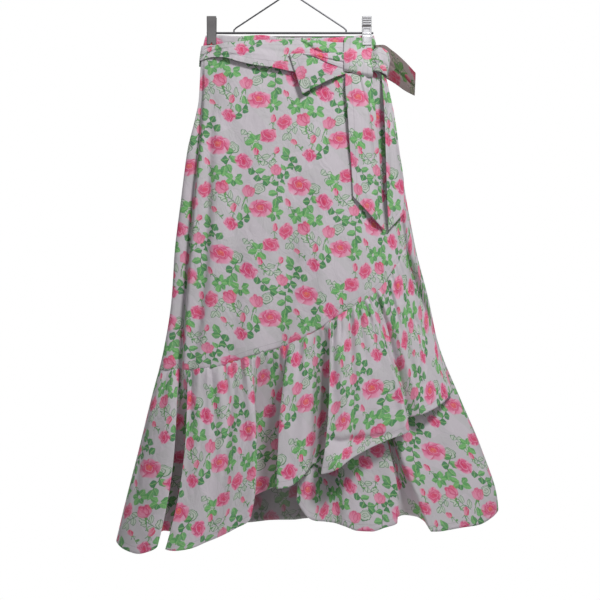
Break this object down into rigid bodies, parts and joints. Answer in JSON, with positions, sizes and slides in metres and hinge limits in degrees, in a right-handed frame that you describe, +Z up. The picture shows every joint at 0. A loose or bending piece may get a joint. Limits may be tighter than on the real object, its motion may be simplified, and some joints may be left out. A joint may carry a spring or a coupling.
{
  "type": "wrap skirt on a clip hanger",
  "caption": "Long wrap skirt in rose-printed cotton with a waistband, a sash tied in a bow and a gathered ruffle round a tulip hem, hung by its waistband from a steel clip hanger.",
  "frame": {"origin": "where the hanger's hook rests on its rail: the underside of the top of the hook's bend", "axes": "+Z up; -Y towards the front of the skirt, where the wrap closes; +X to the viewer's right when the front is seen, the side of the bow"},
  "size_m": [0.688, 0.167, 1.0636],
  "materials": {
    "rose_print_cotton": "plain-woven cotton poplin, near white with a pink and green rose print",
    "dark_steel": "dark wire, slightly shiny",
    "dull_steel": "grey plated sheet, worn dull",
    "bright_steel": "bright plated sheet"
  },
  "bodies": {
    "root": {"overlap_waistband": "rose_print_cotton", "underlap_waistband": "rose_print_cotton", "back_waistband": "rose_print_cotton", "sash_front": "rose_print_cotton", "sash_back": "rose_print_cotton", "front_overlap": "rose_print_cotton", "front_underlap": "rose_print_cotton", "back_panel": "rose_print_cotton", "overlap_ruffle": "rose_print_cotton", "underlap_ruffle": "rose_print_cotton", "back_ruffle": "rose_print_cotton", "bow_knot": "rose_print_cotton", "bow_end_left": "rose_print_cotton", "bow_end_right": "rose_print_cotton", "tie_end_left": "rose_print_cotton", "tie_end_right": "rose_print_cotton", "hanger_bar": "dark_steel", "hanger_yoke": "dark_steel", "hanger_hook": "dark_steel", "clip_left_front": "dull_steel", "clip_left_back": "dull_steel", "clip_left_spring": "dull_steel", "clip_right_front": "bright_steel", "clip_right_back": "bright_steel", "clip_right_spring": "bright_steel"}
  },
  "joints": []
}
